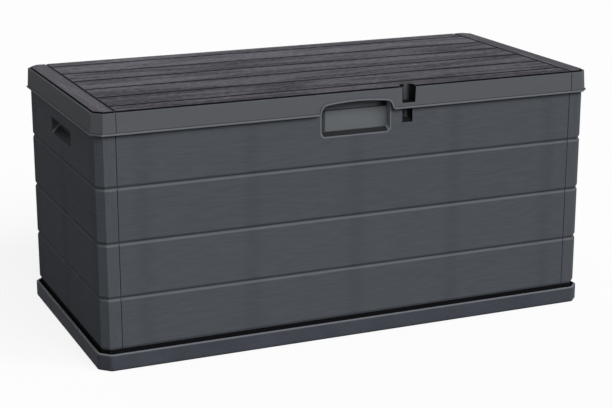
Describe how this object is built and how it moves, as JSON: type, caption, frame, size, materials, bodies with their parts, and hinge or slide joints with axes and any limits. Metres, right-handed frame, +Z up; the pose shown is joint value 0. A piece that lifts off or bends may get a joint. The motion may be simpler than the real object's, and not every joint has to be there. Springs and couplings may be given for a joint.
{
  "type": "deck storage box",
  "caption": "Anthracite resin deck storage box with plank-look walls, wrapped corners, a hinged boarded lid with a handle arch and padlock pocket, carry pockets and a base tray.",
  "frame": {"origin": "middle of the base tray's underside, on the ground", "axes": "+X along the front to the right as seen from the front, +Y from front to back, +Z up"},
  "size_m": [1.17, 0.579, 0.552],
  "materials": {
    "base_resin": "injection-moulded polypropylene, fine matte grain",
    "wall_resin": "injection-moulded polypropylene with a shallow wood grain",
    "lid_resin": "injection-moulded polypropylene with a wood-grain deck and a smooth skirt",
    "hinge_resin": "injection-moulded polyamide, satin",
    "pin_steel": "drawn stainless rod",
    "screw_steel": "zinc-plated screw"
  },
  "bodies": {
    "body": {"base_tray": "base_resin", "bracket_screws_centre": "screw_steel", "bracket_screws_left": "screw_steel", "bracket_screws_right": "screw_steel", "corner_screws_front_left": "screw_steel", "corner_screws_front_right": "screw_steel", "corner_screws_rear_left": "screw_steel", "corner_screws_rear_right": "screw_steel", "floor_screws_front": "screw_steel", "floor_screws_left": "screw_steel", "floor_screws_rear": "screw_steel", "floor_screws_right": "screw_steel", "front_panel": "wall_resin", "hinge_bracket_centre": "hinge_resin", "hinge_bracket_left": "hinge_resin", "hinge_bracket_right": "hinge_resin", "hinge_pin_centre": "pin_steel", "hinge_pin_left": "pin_steel", "hinge_pin_right": "pin_steel", "left_side_panel": "wall_resin", "rear_panel": "wall_resin", "right_side_panel": "wall_resin"},
    "lid": {"hinge_leaf_centre": "hinge_resin", "hinge_leaf_left": "hinge_resin", "hinge_leaf_right": "hinge_resin", "leaf_screws_centre": "screw_steel", "leaf_screws_left": "screw_steel", "leaf_screws_right": "screw_steel", "lid_shell": "lid_resin"}
  },
  "joints": [
    {"name": "lid_hinge", "type": "hinge", "parent": "body", "child": "lid", "pos_m": [0, 0.2875, 0.495], "axis": [-1, 0, 0], "range_deg": [0, 100]}
  ]
}
